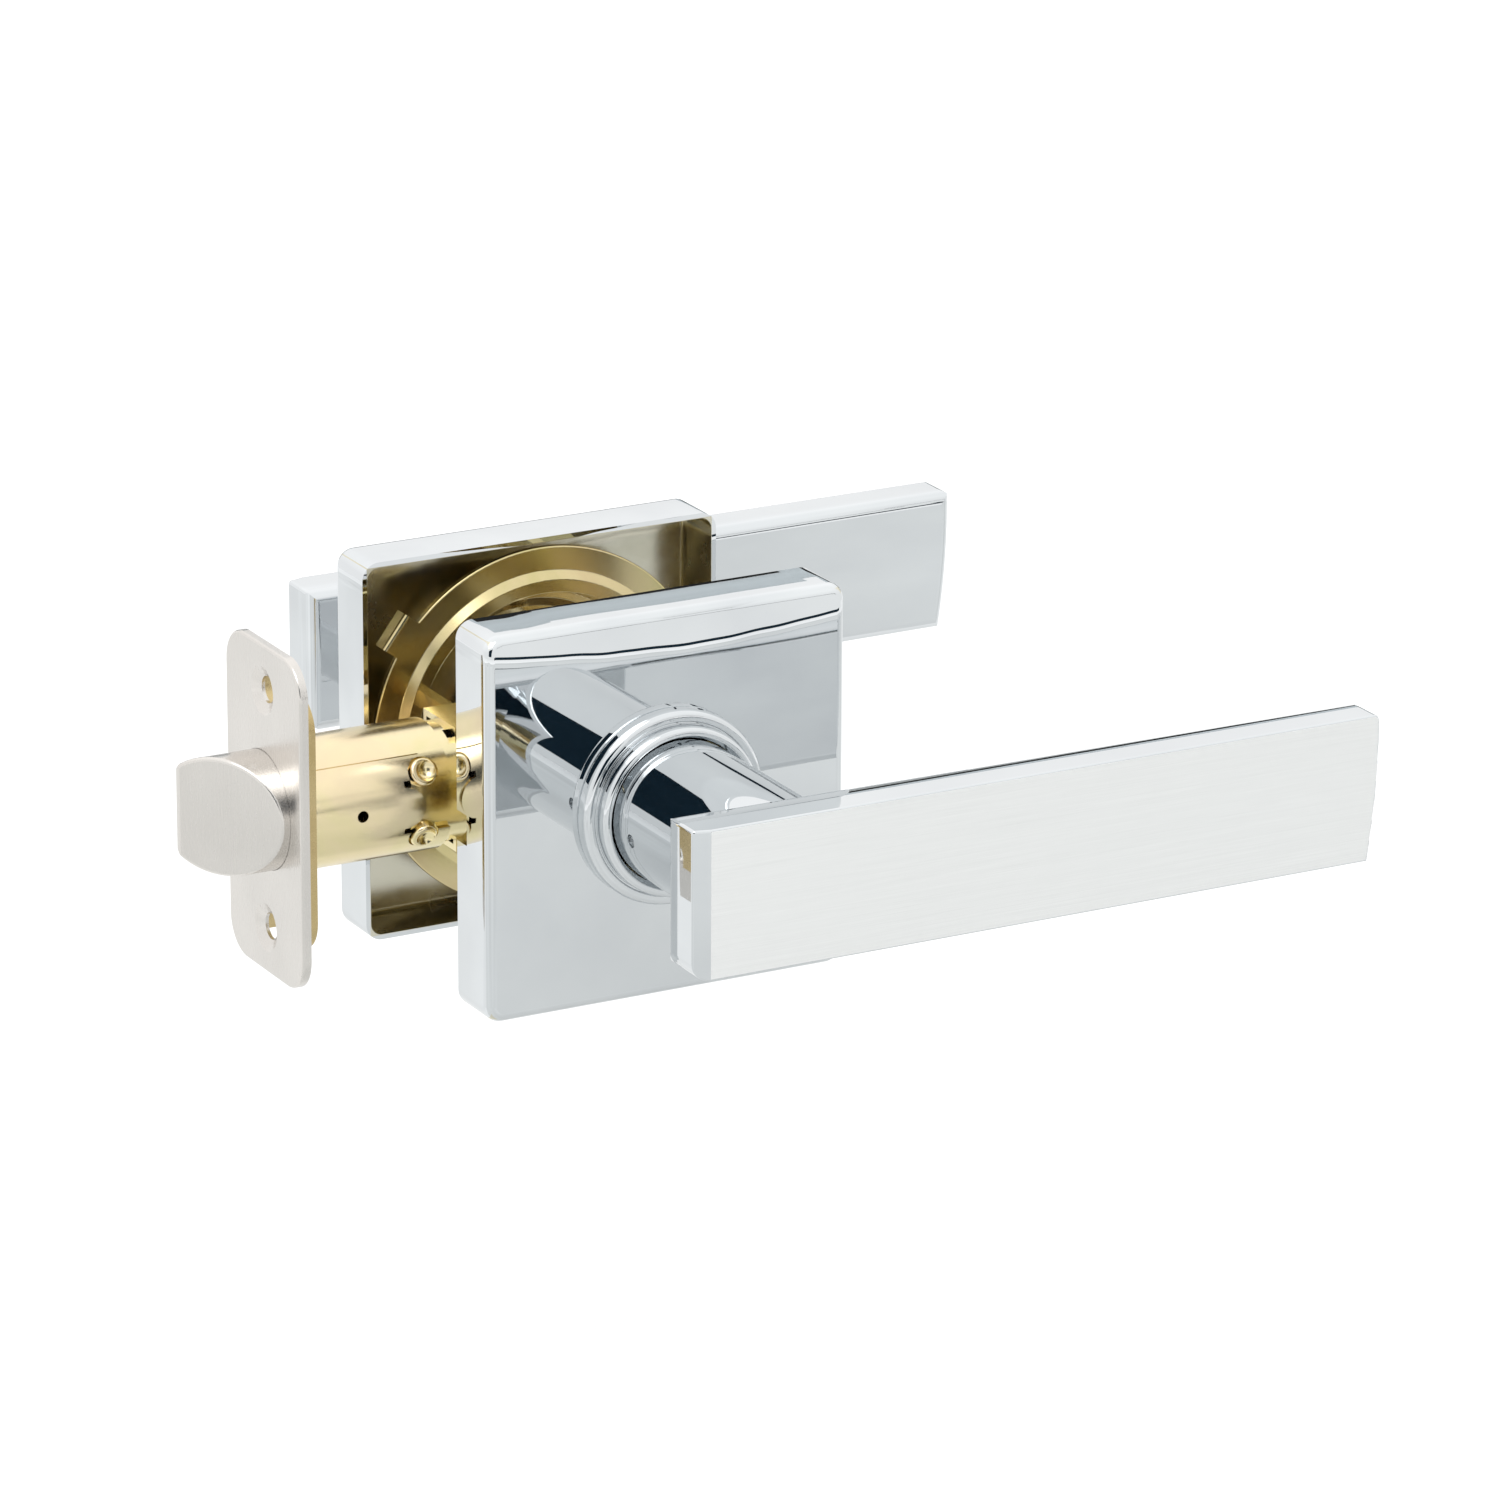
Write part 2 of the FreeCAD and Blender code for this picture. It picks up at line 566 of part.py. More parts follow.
def latch_tube():
    tube = rod_x(TUBE_R, TUBE_START, TUBE_END).cut(
        rod_x(TUBE_R - TUBE_WALL, TUBE_START - 1, TUBE_END + 1))
    # window with a rounded tongue between the stakes, front and back
    window = box(TONGUE_X - TONGUE_R, TUBE_END + 1, -TUBE_R - 1, TUBE_R + 1,
                 -WINDOW_HALF, WINDOW_HALF)
    tongue = rod_y(TONGUE_R, -TUBE_R - 2, TUBE_R + 2, x=TONGUE_X - TONGUE_R)
    tube = tube.cut(window.cut(tongue))
    for hole in at_stakes(rod_y(STAKE_R, -TUBE_R - 1, -TUBE_R + 3, x=STAKE_X)):
        tube = tube.cut(hole)
    seam = box(TUBE_START - 1, STAKE_X, -TUBE_R - 1, SEAM - TUBE_R, -SEAM / 2, SEAM / 2)
    seam.rotate(vec(0, 0, 0), X_AXIS, -SEAM_ANGLE)
    tube = tube.cut(seam)
    sight = rod_y(SIGHT_R, -TUBE_R - 1, 0, x=FACE_X + SIGHT_X)
    return tube.cut(sight)


def latch_case():
    inner_y, inner_z = CASE_HALF_Y - CASE_WALL, CASE_HALF_Z - CASE_WALL
    case = rod_x(CASE_R, CASE_START, CASE_NECK + CASE_WALL)
    case = case.cut(rod_x(CASE_R - CASE_SKIRT, CASE_START - 1, CASE_NECK))
    case = case.fuse(box(CASE_NECK, CASE_END, -CASE_HALF_Y, CASE_HALF_Y, -CASE_HALF_Z, CASE_HALF_Z))
    case = case.cut(box(CASE_NECK - 1, CASE_END - CASE_WALL, -inner_y, inner_y,
                        -inner_z, inner_z))
    case = case.cut(rod_y(CAM_JOURNAL_R + RUNNING, -CASE_HALF_Y - 1, CASE_HALF_Y + 1))
    for peg in at_stakes(dimple()):
        case = case.fuse(peg)
    return case.removeSplitter()


def spring_seat():
    end = CASE_NECK - SEAT_GAP
    seat = rod_x(CASE_R - CASE_SKIRT, end - SEAT_T, end)
    return seat.cut(rod_x(STEM_R + RUNNING, end - SEAT_T - 1, end + 1))


def latch_bolt():
    bolt = bolt_opening(0, BOLT_TIP, BOLT_BACK)
    tip_y, heel_x = BOLT_FLAT - BOLT_LAND, FACE_X - BOLT_HEEL
    ramp = [vec(BOLT_TIP, tip_y, -20), vec(heel_x, -BOLT_R, -20),
            vec(heel_x, -BOLT_R - 5, -20), vec(BOLT_TIP - 5, -BOLT_R - 5, -20),
            vec(BOLT_TIP - 5, tip_y, -20)]
    bolt = bolt.cut(Part.Face(Part.makePolygon(ramp + ramp[:1])).extrude(vec(0, 0, 40)))
    rim = [e for e in bolt.Edges if e.CenterOfMass.x < FACE_X - 2 and
           min(v.X for v in e.Vertexes) < FACE_X - 1.5 and
           not all(abs(v.Y - BOLT_FLAT) < 1e-6 for v in e.Vertexes)]
    bolt = bolt.makeFillet(BOLT_EDGE_R, rim)
    return bolt.cut(rod_x(BOLT_CUP_R, BOLT_BACK - BOLT_CUP, BOLT_BACK + 1))


def bolt_stem():
    end = STEM_HEAD_X + STEM_HEAD_T
    stem = rod_x(STEM_R, BOLT_BACK - BOLT_CUP, end)
    return stem.fuse(rod_x(STEM_HEAD_R, STEM_HEAD_X, end)).removeSplitter()


def latch_spring():
    start = BOLT_BACK - BOLT_CUP + LATCH_SPRING_WIRE_R + LATCH_SPRING_GAP
    end = CASE_NECK - SEAT_GAP - SEAT_T - LATCH_SPRING_WIRE_R - 2 * LATCH_SPRING_GAP
    return coil(LATCH_SPRING_R, LATCH_SPRING_WIRE_R, LATCH_SPRING_TURNS, vec(start, 0, 0),
                end - start, X_AXIS)


def latch_retractor():
    """Stamped frame: the wall pulls the stem's head, the lug is pushed by the cam."""
    z0 = CAM_R + RETRACTOR_ARM_GAP
    z1 = z0 + RETRACTOR_ARM_T
    wall_end = RETRACTOR_X + RETRACTOR_WALL
    frame = box(RETRACTOR_X, wall_end, -CAM_HALF, CAM_HALF, -z1, z1)
    frame = frame.cut(rod_x(STEM_R + 0.2, RETRACTOR_X - 1, wall_end + 1))
    for side in (-1, 1):
        frame = frame.fuse(box(RETRACTOR_X, RETRACTOR_END, -CAM_HALF, CAM_HALF,
                               side * z0, side * z1))
    slot = FINGER_W / 2 + FINGER_GAP
    window = box(FINGER_SLOT_X, RETRACTOR_END - RETRACTOR_LUG, -slot, slot, z0 - 1, z1 + 1)
    return frame.cut(window).removeSplitter()


def latch_cam():
    cam = rod_y(CAM_R, -CAM_HALF, CAM_HALF)
    journal = CASE_HALF_Y + CAM_PROUD
    cam = cam.fuse(rod_y(CAM_JOURNAL_R, -journal, journal))
    finger = box(-FINGER_W / 2, FINGER_W / 2, -FINGER_W / 2, FINGER_W / 2, 0, FINGER_R)
    finger.rotate(vec(0, 0, 0), Y_AXIS, -FINGER_REST)
    cam = cam.fuse(finger).removeSplitter()
    return cam.cut(square(SPINDLE + 2 * SQUARE_GAP, -journal - 1, journal + 1))


# ---------------------------------------------------------------- assembly
def build():
    parts = {
        "spindle": spindle(),
        "threaded_posts": threaded_posts(),
        "mounting_screws": mounting_screws(),
        "latch_faceplate": latch_faceplate(),
        "latch_backplate": latch_backplate(),
        "latch_tube": latch_tube(),
        "latch_case": latch_case(),
        "latch_spring_seat": spring_seat(),
        "latch_bolt": latch_bolt(),
        "bolt_stem": bolt_stem(),
        "latch_spring": latch_spring(),
        "latch_retractor": latch_retractor(),
        "latch_cam": latch_cam(),
    }
    front_set = {
        "rosette_cover": rose_cover(),
        "rosette_collar": rose_collar(),
        "bearing_bush": bearing_bush(),
        "return_spring": return_spring(),
        "lever": lever(),
        "lever_hub": lever_hub(),
        "snap_ring": snap_ring(),
        "lever_catch": lever_catch(),
        "catch_spring": catch_spring(),
    }
    for name, shape in front_set.items():
        parts["front_" + name] = shape
        parts["rear_" + name] = mirrored(shape)
    parts["front_mounting_plate"] = mounting_plate(RIVET_R)
    parts["rear_mounting_plate"] = mirrored(mounting_plate(SCREW_R + SCREW_HOLE_GAP))
    return parts


os.makedirs("parts", exist_ok=True)
for name, shape in build().items():
    assert shape.isValid(), name
    shape.exportStep("parts/" + name + ".step")
    print(name, "solids", len(shape.Solids), "volume", round(shape.Volume, 1))
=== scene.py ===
import json
import math

import bpy
from mathutils import Matrix, Vector


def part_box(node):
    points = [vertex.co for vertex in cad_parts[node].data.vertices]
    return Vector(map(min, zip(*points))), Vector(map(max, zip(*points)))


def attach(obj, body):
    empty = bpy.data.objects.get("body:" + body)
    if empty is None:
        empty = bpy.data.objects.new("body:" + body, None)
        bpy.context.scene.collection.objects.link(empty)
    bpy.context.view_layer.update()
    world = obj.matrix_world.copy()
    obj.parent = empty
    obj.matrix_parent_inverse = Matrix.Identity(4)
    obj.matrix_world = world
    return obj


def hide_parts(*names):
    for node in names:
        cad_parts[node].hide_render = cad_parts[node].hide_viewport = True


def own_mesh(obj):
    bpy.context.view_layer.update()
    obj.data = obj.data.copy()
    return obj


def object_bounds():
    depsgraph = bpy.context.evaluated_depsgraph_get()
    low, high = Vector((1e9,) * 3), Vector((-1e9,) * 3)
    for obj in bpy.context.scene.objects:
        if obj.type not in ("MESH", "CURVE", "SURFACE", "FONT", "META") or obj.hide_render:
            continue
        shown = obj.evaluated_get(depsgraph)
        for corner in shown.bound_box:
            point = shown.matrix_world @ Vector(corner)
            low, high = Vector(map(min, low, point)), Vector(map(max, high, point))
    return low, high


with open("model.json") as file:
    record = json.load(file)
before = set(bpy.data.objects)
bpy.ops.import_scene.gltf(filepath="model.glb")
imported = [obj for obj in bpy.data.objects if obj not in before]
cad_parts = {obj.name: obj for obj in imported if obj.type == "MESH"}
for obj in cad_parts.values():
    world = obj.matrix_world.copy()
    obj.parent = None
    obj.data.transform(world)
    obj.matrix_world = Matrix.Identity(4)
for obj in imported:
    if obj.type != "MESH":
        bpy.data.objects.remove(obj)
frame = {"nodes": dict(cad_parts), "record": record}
cad_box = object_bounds()

# Lengths are metres, angles are degrees and colours are linear RGB, unless a comment says
# otherwise. The latch bolt points to -x, the levers to +x, the front set is at -y and z is up.

# ---------------------------------------------------------------- camera
# The photo's angle. The camera aims at a point beside the frame's origin.
AZIMUTH, ELEVATION, ROLL = -28.46, 18.66, 0.26
DISTANCE = 1.34947
AIM_RIGHT, AIM_UP = 0.02711, 0.00083
LENS, SENSOR = 192.32, 36.0         # millimetres
NEAR, FAR = 0.05, 20


def view_axes(azimuth, elevation):
    """Directions towards a viewer, to the viewer's right and up."""
    a, e = math.radians(azimuth), math.radians(elevation)
    back = Vector((math.sin(a) * math.cos(e), -math.cos(a) * math.cos(e), math.sin(e)))
    right = Vector((math.cos(a), math.sin(a), 0))
    return back, right, back.cross(right)


def make_camera():
    back, right, up = view_axes(AZIMUTH, ELEVATION)
    roll = math.radians(ROLL)
    right, up = (right * math.cos(roll) + up * math.sin(roll),
                 up * math.cos(roll) - right * math.sin(roll))
    data = bpy.data.cameras.new("camera")
    data.lens, data.sensor_width = LENS, SENSOR
    data.clip_start, data.clip_end = NEAR, FAR
    camera = bpy.data.objects.new("camera", data)
    bpy.context.scene.collection.objects.link(camera)
    place = back * DISTANCE + right * AIM_RIGHT + up * AIM_UP
    turn = Matrix((right, up, back)).transposed()
    camera.matrix_world = Matrix.Translation(place) @ turn.to_4x4()
    bpy.context.scene.camera = camera


# ---------------------------------------------------------------- node helpers
NOISE_RANGE = (0.3, 0.7)    # where nearly all of a noise texture's values lie


class Nodes:
    """Short names for building one node tree."""

    def __init__(self, tree):
        self.tree = tree
        tree.nodes.clear()

    def feed(self, socket, value):
        """Link the socket to another one, or set it."""
        if isinstance(value, bpy.types.NodeSocket):
            self.tree.links.new(value, socket)
        else:
            socket.default_value = value

    def add(self, kind, inputs=(), **settings):
        node = self.tree.nodes.new(kind)
        for name, value in settings.items():
            setattr(node, name, value)
        for name, value in dict(inputs).items():
            self.feed(node.inputs[name], value)
        return node

    def place(self):
        """The piece's own coordinates."""
        return self.add("ShaderNodeTexCoord").outputs["Object"]

    def stretched(self, scale=(1, 1, 1)):
        """The piece's own coordinates, times a scale for each axis."""
        return self.add("ShaderNodeMapping", {"Vector": self.place(), "Scale": scale}).outputs[0]

    def axes(self, vector):
        return self.add("ShaderNodeSeparateXYZ", {"Vector": vector}).outputs

    def noise(self, vector, scale, detail, roughness=0.5, distortion=0.0):
        return self.add("ShaderNodeTexNoise", {
            "Vector": vector, "Scale": scale, "Detail": detail, "Roughness": roughness,
            "Distortion": distortion}).outputs["Fac"]

    def remap(self, value, low, high, out_low, out_high):
        return self.add("ShaderNodeMapRange", {
            "Value": value, "From Min": low, "From Max": high,
            "To Min": out_low, "To Max": out_high}).outputs["Result"]

    def spread(self, noise, out_low, out_high):
        """A number between two, picked by noise."""
        return self.remap(noise, *NOISE_RANGE, out_low, out_high)

    def ramp(self, value, stops):
        ramp = self.add("ShaderNodeValToRGB", {"Fac": value})
        elements = ramp.color_ramp.elements
        while len(elements) < len(stops):
            elements.new(0.5)
        for element, (position, colour) in zip(elements, stops):
            element.position = position
            element.color = (*colour, 1)
        return ramp.outputs["Color"]

    def shades(self, noise, dark, light):
        """A colour between two, picked by noise."""
        return self.ramp(noise, list(zip(NOISE_RANGE, (dark, light))))

    def math(self, operation, a, b=0.0):
        node = self.add("ShaderNodeMath", operation=operation)
        self.feed(node.inputs[0], a)
        self.feed(node.inputs[1], b)
        return node.outputs[0]

    def mix(self, factor, a, b):
        """Blend of two numbers, which the node takes at sockets 2 and 3."""
        node = self.add("ShaderNodeMix", {"Factor": factor})
        self.feed(node.inputs[2], a)
        self.feed(node.inputs[3], b)
        return node.outputs[0]

    def mix_colours(self, factor, a, b):
        """Blend of two colours, which the same node takes at sockets 6 and 7."""
        node = self.add("ShaderNodeMix", {"Factor": factor}, data_type="RGBA")
        self.feed(node.inputs[6], a)
        self.feed(node.inputs[7], b)
        return node.outputs[2]

    def bump(self, height, strength, distance, normal=None):
        inputs = {"Height": height, "Strength": strength, "Distance": distance}
        if normal is not None:
            inputs["Normal"] = normal
        return self.add("ShaderNodeBump", inputs).outputs[0]

    def surface(self, shader, inputs):
        node = self.add(shader, inputs)
        self.add("ShaderNodeOutputMaterial", {"Surface": node.outputs[0]})

    def metal(self, colour, roughness, normal):
        self.surface("ShaderNodeBsdfPrincipled", {
            "Base Color": colour, "Metallic": 1.0, "Roughness": roughness, "Normal": normal})


def new_material(name):
    material = bpy.data.materials.new(name)
    material.use_nodes = True
    return material, Nodes(material.node_tree)


# ---------------------------------------------------------------- materials
CHROME_DARK = (0.68, 0.70, 0.715)
CHROME_LIGHT = (0.73, 0.75, 0.76)
INSIDE_DARK = (0.60, 0.57, 0.45)
INSIDE_LIGHT = (0.74, 0.71, 0.60)
SATIN_DARK = (0.86, 0.86, 0.85)
SATIN_LIGHT = (0.97, 0.97, 0.96)
NICKEL_DARK = (0.65, 0.622, 0.588)
NICKEL_LIGHT = (0.735, 0.702, 0.664)
BRASS = ((0.50, 0.38, 0.18), (0.62, 0.49, 0.26))
BRIGHT_STEEL = ((0.58, 0.59, 0.60), (0.70, 0.70, 0.70))
SPRING_STEEL = ((0.20, 0.20, 0.21), (0.33, 0.33, 0.34))
SINTERED_BRONZE = ((0.35, 0.24, 0.13), (0.52, 0.38, 0.22))
YELLOW_HUES = ((0.50, 0.46, 0.22), (0.60, 0.52, 0.26), (0.66, 0.55, 0.31), (0.62, 0.49, 0.28))
PALE_HUES = ((0.72, 0.66, 0.34), (0.83, 0.73, 0.42), (0.88, 0.74, 0.48), (0.82, 0.66, 0.46))
HUE_STOPS = (0.25, 0.42, 0.58, 0.78)
WALL = 0.0008               # just under the thickness of the rose cover's sheet
ROSE_ROLL = 0.0078          # how far below the rose's top its face starts to fall away
ROSE_BOW = 0.0022           # how much lower that is in the middle than at the corners
ROSE_WANDER = 0.0008        # how far it wanders up and down from there
BAR_ROLL = 0.0048           # how far behind the lever's front its top starts to fall away
FACE_SKIN = 0.00002         # the lever's brushed face is what lies this close to its front
GRAIN_RANGE = (0.6, 1.3)    # where nearly all of the lever's summed grain lies
SHARP_ANGLE = 28            # edges that turn by more than this stay crisp


def polish(n):
    """Roughness of polished chrome, with faint wiping marks."""
    wipe = n.noise(n.stretched((1, 1, 14)), scale=180, detail=5, roughness=0.6)
    return n.remap(wipe, 0.35, 0.75, 0.012, 0.035)


def chrome_finish(n):
    """Colour, roughness and slow waviness of polished chrome plate."""
    colour = n.shades(n.noise(n.stretched(), scale=60, detail=3), CHROME_DARK, CHROME_LIGHT)
    swell = n.noise(n.stretched(), scale=26, detail=1)
    return colour, polish(n), n.bump(swell, strength=0.35, distance=0.0005)


def polished_chrome():
    material, n = new_material("polished_chrome")
    n.metal(*chrome_finish(n))
    return material


def rolled_edge(n, distance, start, slope, width, reach):
    """Height of a surface that falls away past start.

    It gets steeper over width, up to slope, and is level again at reach.
    """
    past = n.math("MINIMUM", n.math("MAXIMUM", n.math("SUBTRACT", distance, start), 0), reach)
    curve = n.math("MULTIPLY", n.math("MULTIPLY", past, past), -slope / (2 * width))
    straight = n.math("MULTIPLY", n.math("SUBTRACT", past, width / 2), -slope)
    far = n.math("GREATER_THAN", past, width)
    return n.mix(far, curve, straight)


def top_roll(n, axes, half):
    """The rose's face falls away along its top edge, on a line that dips in the middle."""
    across = n.math("MULTIPLY", axes["X"], axes["X"])
    bow = n.math("MULTIPLY", across, -ROSE_BOW / half ** 2)
    drift = n.noise(n.stretched((1, 0.3, 0.3)), scale=34, detail=2)
    wander = n.spread(drift, -ROSE_WANDER, ROSE_WANDER)
    edge = n.math("ADD", n.math("ADD", axes["Z"], bow), wander)
    return rolled_edge(n, edge, half - ROSE_ROLL, slope=0.2, width=0.0022, reach=0.0066)


def rose_inside(n, axes, half, front):
    """1 on the inner side of the rose cover's sheet, and 0 on its outer side."""
    inner_x = n.math("LESS_THAN", n.math("ABSOLUTE", axes["X"]), half - WALL)
    inner_z = n.math("LESS_THAN", n.math("ABSOLUTE", axes["Z"]), half - WALL)
    behind = n.math("LESS_THAN", n.math("ABSOLUTE", axes["Y"]), front - WALL / 2)
    return n.math("MULTIPLY", n.math("MULTIPLY", inner_x, inner_z), behind)


def rose_chrome(half, front):
    """Stamped rose cover: polished outside, with soft edges, and dull inside."""
    material, n = new_material("rose_chrome")
    colour, roughness, waves = chrome_finish(n)
    axes = n.axes(n.place())
    inward = n.math("SUBTRACT", front, n.math("ABSOLUTE", axes["Y"]))
    wall_roll = rolled_edge(n, inward, start=0.0015, slope=0.10, width=0.009, reach=0.011)
    height = n.math("ADD", top_roll(n, axes, half), wall_roll)
    inside = rose_inside(n, axes, half, front)
    raw = n.noise(n.stretched(), scale=120, detail=4)
    colour = n.mix_colours(inside, colour, n.shades(raw, INSIDE_DARK, INSIDE_LIGHT))
    roughness = n.mix(inside, roughness, n.spread(raw, 0.16, 0.3))
    n.metal(colour, roughness, n.bump(height, 1.0, 1.0, waves))
    return material


def satin_chrome(front):
    """Lever: the face towards the hand is brushed along its length, and the rest is polished."""
    material, n = new_material("satin_chrome")
    depth = n.math("ABSOLUTE", n.axes(n.place())["Y"])
    brushed = n.remap(depth, front - FACE_SKIN, front - FACE_SKIN / 2, 0, 1)
    streaks = n.noise(n.stretched((9, 1, 1500)), scale=4, detail=5, roughness=0.7)
    fine = n.noise(n.stretched((30, 1, 3500)), scale=3, detail=3, roughness=0.6)
    grain = n.math("ADD", streaks, n.math("MULTIPLY", fine, 0.9))
    cloud = n.noise(n.stretched((1, 1, 3)), scale=45, detail=3)
    satin_tone = n.remap(grain, *GRAIN_RANGE, 0.68, 0.95)
    tone = n.mix(brushed, n.spread(cloud, 0.0, 0.25), satin_tone)
    colour = n.ramp(tone, [(0.0, CHROME_DARK), (0.3, CHROME_LIGHT),
                           (0.6, SATIN_DARK), (1.0, SATIN_LIGHT)])
    roughness = n.mix(brushed, polish(n), n.remap(grain, *GRAIN_RANGE, 0.28, 0.4))
    # the top and bottom fall away towards the back
    behind = n.math("SUBTRACT", front, depth)
    roll = rolled_edge(n, behind, BAR_ROLL, slope=0.17, width=0.0018, reach=0.0034)
    height = n.math("MULTIPLY", grain, brushed)
    n.metal(colour, roughness, n.bump(height, 0.3, 0.00006, n.bump(roll, 1.0, 1.0)))
    return material


def zinc(name, hues, rough):
    """Yellow chromate over bright zinc, with its faint rainbow."""
    material, n = new_material(name)
    cloud = n.noise(n.stretched(), scale=55, detail=4, roughness=0.55, distortion=0.6)
    hue = n.ramp(cloud, list(zip(HUE_STOPS, hues)))
    grain = n.noise(n.stretched(), scale=2600, detail=3, roughness=0.6)
    roughness = n.remap(n.math("ADD", grain, cloud), 0.7, 1.4, rough, rough + 0.12)
    n.metal(hue, roughness, n.bump(grain, 0.05, 0.00004))
    return material


def satin_nickel():
    """Nickel plate with a fine, mostly upright grain."""
    material, n = new_material("satin_nickel")
    grain = n.noise(n.stretched((1400, 1400, 60)), scale=3, detail=5, roughness=0.65)
    cloud = n.noise(n.stretched(), scale=40, detail=3)
    colour = n.shades(cloud, NICKEL_DARK, NICKEL_LIGHT)
    n.metal(colour, n.spread(grain, 0.2, 0.3), n.bump(grain, 0.06, 0.00003))
    return material


def turned_metal(name, tones, rough, scale=1500.0):
    """Small machined or drawn parts."""
    material, n = new_material(name)
    grain = n.noise(n.stretched(), scale, detail=4, roughness=0.6)
    cloud = n.noise(n.stretched(), scale=90, detail=3)
    roughness = n.spread(grain, rough, rough + 0.15)
    n.metal(n.shades(cloud, *tones), roughness, n.bump(grain, 0.2, 0.00005))
    return material


def make_materials():
    lever_front = max(abs(corner.y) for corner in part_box("front_lever"))
    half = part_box("front_rosette_cover")[1].z
    rose_front = -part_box("front_rosette_cover")[0].y
    return {
        "rose_chrome": rose_chrome(half, rose_front),
        "polished_chrome": polished_chrome(),
        "satin_chrome": satin_chrome(lever_front),
        "yellow_zinc": zinc("yellow_zinc", YELLOW_HUES, 0.14),
        "pale_zinc": zinc("pale_zinc", PALE_HUES, 0.16),
        "satin_nickel": satin_nickel(),
        "brass": turned_metal("brass", BRASS, 0.22),
        "bright_steel": turned_metal("bright_steel", BRIGHT_STEEL, 0.2),
        "spring_steel": turned_metal("spring_steel", SPRING_STEEL, 0.3),
        "sintered_bronze": turned_metal("sintered_bronze", SINTERED_BRONZE, 0.4, 700.0),
    }


def dress_nodes(materials):
    """Give each CAD node its material, and smooth shading between crisp edges."""
    slots = {row["node"]: row["material_slot"] for row in frame["record"]["subparts"]}
    slots.update(latch_tube="pale_zinc", latch_case="pale_zinc",
                 front_rosette_cover="rose_chrome", rear_rosette_cover="rose_chrome")
    for name, node in frame["nodes"].items():
        node.data.materials.clear()
        node.data.materials.append(materials[slots[name]])
        node.data.shade_smooth()
        node.data.set_sharp_from_angle(angle=math.radians(SHARP_ANGLE))
        even = node.modifiers.new("even_normals", "WEIGHTED_NORMAL")
        even.keep_sharp = True
        even.weight = 100


# ---------------------------------------------------------------- springs
def make_spring(node, body):
    """A copy of the coil, on its own mesh and attached to the body, in place of the hidden CAD
    node.
    """
    coil = bpy.data.objects.new(node + "_coil", frame["nodes"][node].data.copy())
    bpy.context.scene.collection.objects.link(coil)
    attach(coil, body)
    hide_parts(node)
    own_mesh(coil)


def make_springs():
    make_spring("latch_spring", "door_side")
    make_spring("front_catch_spring", "front_handle")
    make_spring("rear_catch_spring", "rear_handle")


# ---------------------------------------------------------------- studio
FLOOR_DROP = 0.09           # the set is shown in the air, this far above the floor
FLOOR_HALF = 3.0
FLOOR_DARK = (0.93, 0.93, 0.93)
FLOOR_LIGHT = (0.96, 0.96, 0.96)
TENT_STRENGTH = 1.1
OVERHEAD = 1.15             # how much brighter the tent's top is
FRONT_WHITE = (0.92, 0.93, 0.93)
WHITE = (1, 1, 1)
NAVY = (0.008, 0.018, 0.028)
DARK = (0.02, 0.02, 0.02)
GREY = (0.30, 0.31, 0.31)
BLUE_GREY = (0.48, 0.52, 0.54)
# painted shade: the next two tones are the floor's shade as the metal mirrors it, on sheets the
# camera doesn't see
FRONT_SHADE_TONE = (0.60, 0.61, 0.61)
BACK_SHADE_TONE = (0.71, 0.715, 0.715)
PATCH = 1.2                 # how much lighter a card's light patches are than its tone
CARDS = (                   # name, azimuth, elevation, distance, width, height, tone
    ("camera_opening", AZIMUTH, ELEVATION, 0.8, 0.42, 0.40, NAVY),
    ("front_slit", 28, 17.0, 0.8, 0.34, 0.018, NAVY),
    ("front_horizon", 28, 0, 1.0, 0.6, 0.07, NAVY),
    ("back_slit", 152, 6.0, 2.0, 2.4, 0.21, DARK),
    ("back_blue", 152, 12.5, 2.0, 2.4, 0.24, BLUE_GREY),
    ("back_grey", 152, 0.5, 2.0, 2.4, 0.175, GREY),
)
SHADE_SHEET_LIFT = 0.002            # the sheets of painted floor shade lie this far above the floor
SHADE_SHEET_HALF = 0.9              # along x; each of the two sheets of painted floor shade reaches as far along y, from 0
KEY_PLACE = (-0.5, -0.5, 1.4)
KEY_SIZE = 0.9
KEY_POWER = 6               # watts
MAX_BOUNCES = 16
GLOSSY_BOUNCES = 14
CORNERS = ((-1, -1), (1, -1), (1, 1), (-1, 1))


def level(z, half_x, half_y, middle_y=0.0):
    """Corners of a level rectangle."""
    return [(x * half_x, middle_y + y * half_y, z) for x, y in CORNERS]


def facing(azimuth, elevation, distance, width, height):
    """Corners of a rectangle that faces the set from a direction."""
    back, right, up = view_axes(azimuth, elevation)
    return [back * distance + right * x * width / 2 + up * y * height / 2 for x, y in CORNERS]


def make_panel(name, corners):
    """A flat rectangle, and the nodes of its own empty material."""
    mesh = bpy.data.meshes.new(name)
    mesh.from_pydata(corners, [], [(0, 1, 2, 3)])
    panel = bpy.data.objects.new(name, mesh)
    bpy.context.scene.collection.objects.link(panel)
    material, n = new_material(name)
    mesh.materials.append(material)
    return panel, n


def make_floor(low):
    floor, n = make_panel("floor", level(low, FLOOR_HALF, FLOOR_HALF))
    cloud = n.noise(n.stretched(), scale=3, detail=2)
    tone = n.ramp(cloud, [(0.0, FLOOR_DARK), (1.0, FLOOR_LIGHT)])
    n.surface("ShaderNodeBsdfPrincipled", {
        "Base Color": tone, "Roughness": 0.9, "Specular IOR Level": 0.1})


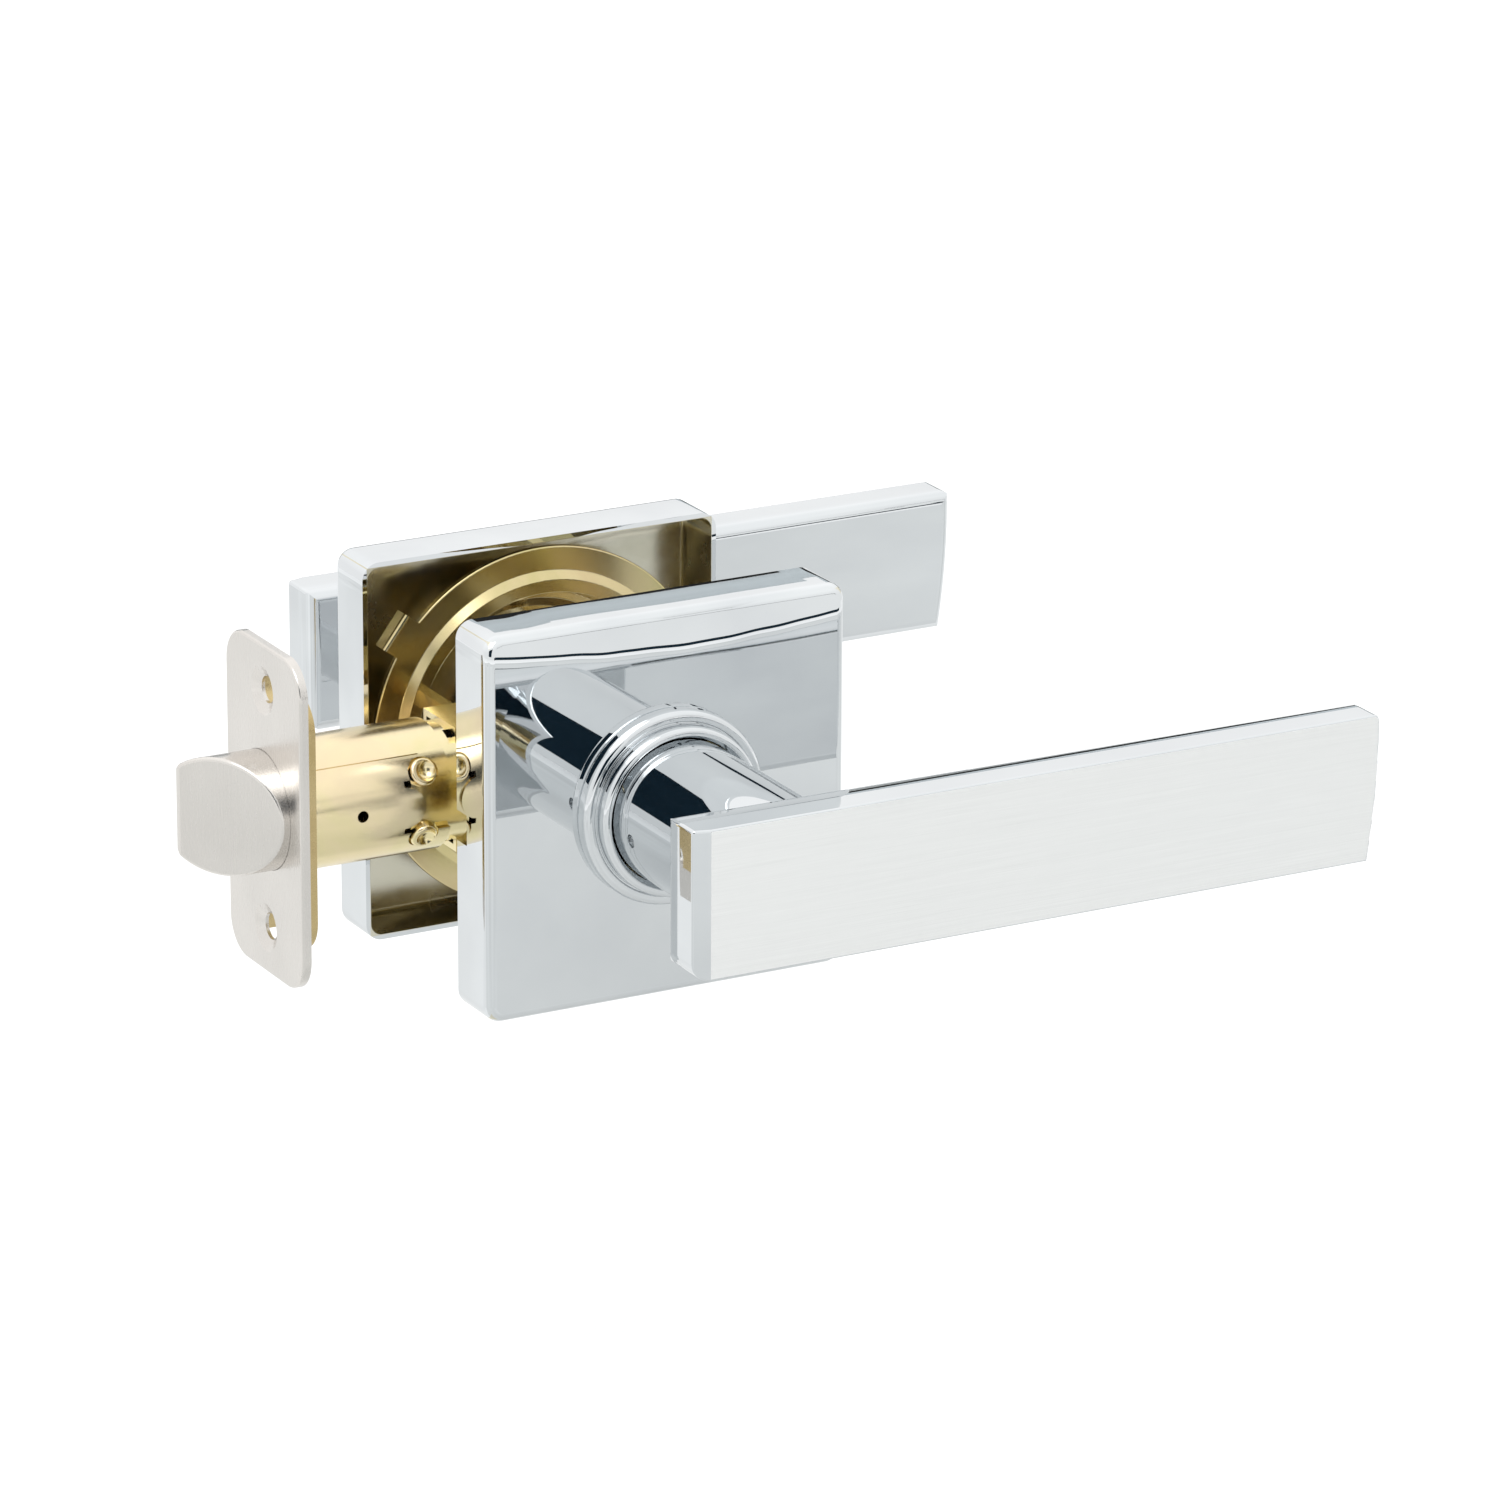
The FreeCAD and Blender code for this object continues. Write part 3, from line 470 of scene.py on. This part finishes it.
def make_world():
    """A white tent, brightest overhead and behind the set."""
    world = bpy.data.worlds.new("tent")
    world.use_nodes = True
    bpy.context.scene.world = world
    n = Nodes(world.node_tree)
    axes = n.axes(n.add("ShaderNodeTexCoord").outputs["Generated"])
    behind = n.remap(axes["Y"], -1, 1, 0, 1)
    tent = n.ramp(behind, [(0.0, FRONT_WHITE), (0.45, FRONT_WHITE), (0.8, WHITE)])
    strength = n.remap(axes["Z"], 0.3, 0.7, TENT_STRENGTH, TENT_STRENGTH * OVERHEAD)
    sky = n.add("ShaderNodeBackground", {"Color": tent, "Strength": strength})
    n.add("ShaderNodeOutputWorld", {"Surface": sky.outputs[0]})


def make_card(name, corners, tone):
    """A studio card that is only seen mirrored in the metal."""
    card, n = make_panel(name, corners)
    card.visible_camera = False
    card.visible_shadow = False
    card.visible_diffuse = False
    cloud = n.noise(n.stretched(), scale=6, detail=2)
    shade = n.shades(cloud, tone, [PATCH * part for part in tone])
    n.surface("ShaderNodeBsdfDiffuse", {"Color": shade})


def make_cards(low):
    """The openings and seams of a photographer's white tent, and two grey sheets of painted
    floor shade, only seen mirrored in the metal.
    """
    for name, azimuth, elevation, distance, width, height, tone in CARDS:
        make_card(name, facing(azimuth, elevation, distance, width, height), tone)
    # painted shade: grey sheets on the floor, seen only in the metal, darken the floor it
    # mirrors
    for name, side, tone in (("front_floor_shade", -1, FRONT_SHADE_TONE), ("back_floor_shade", 1, BACK_SHADE_TONE)):
        corners = level(low + SHADE_SHEET_LIFT, SHADE_SHEET_HALF, SHADE_SHEET_HALF / 2, side * SHADE_SHEET_HALF / 2)
        make_card(name, corners, tone)


def make_key_light():
    """A soft light above and to the front, aimed at the origin."""
    data = bpy.data.lights.new("key", "AREA")
    data.shape, data.size, data.energy = "SQUARE", KEY_SIZE, KEY_POWER
    light = bpy.data.objects.new("key", data)
    light.location = KEY_PLACE
    light.rotation_euler = (-Vector(KEY_PLACE)).to_track_quat("-Z", "Y").to_euler()
    bpy.context.scene.collection.objects.link(light)


def make_studio():
    low = cad_box[0].z - FLOOR_DROP
    make_floor(low)
    make_world()
    make_cards(low)
    make_key_light()
    scene = bpy.context.scene
    scene.view_settings.view_transform = "Standard"
    scene.cycles.max_bounces = MAX_BOUNCES
    scene.cycles.glossy_bounces = GLOSSY_BOUNCES


make_camera()
dress_nodes(make_materials())
make_springs()
make_studio()
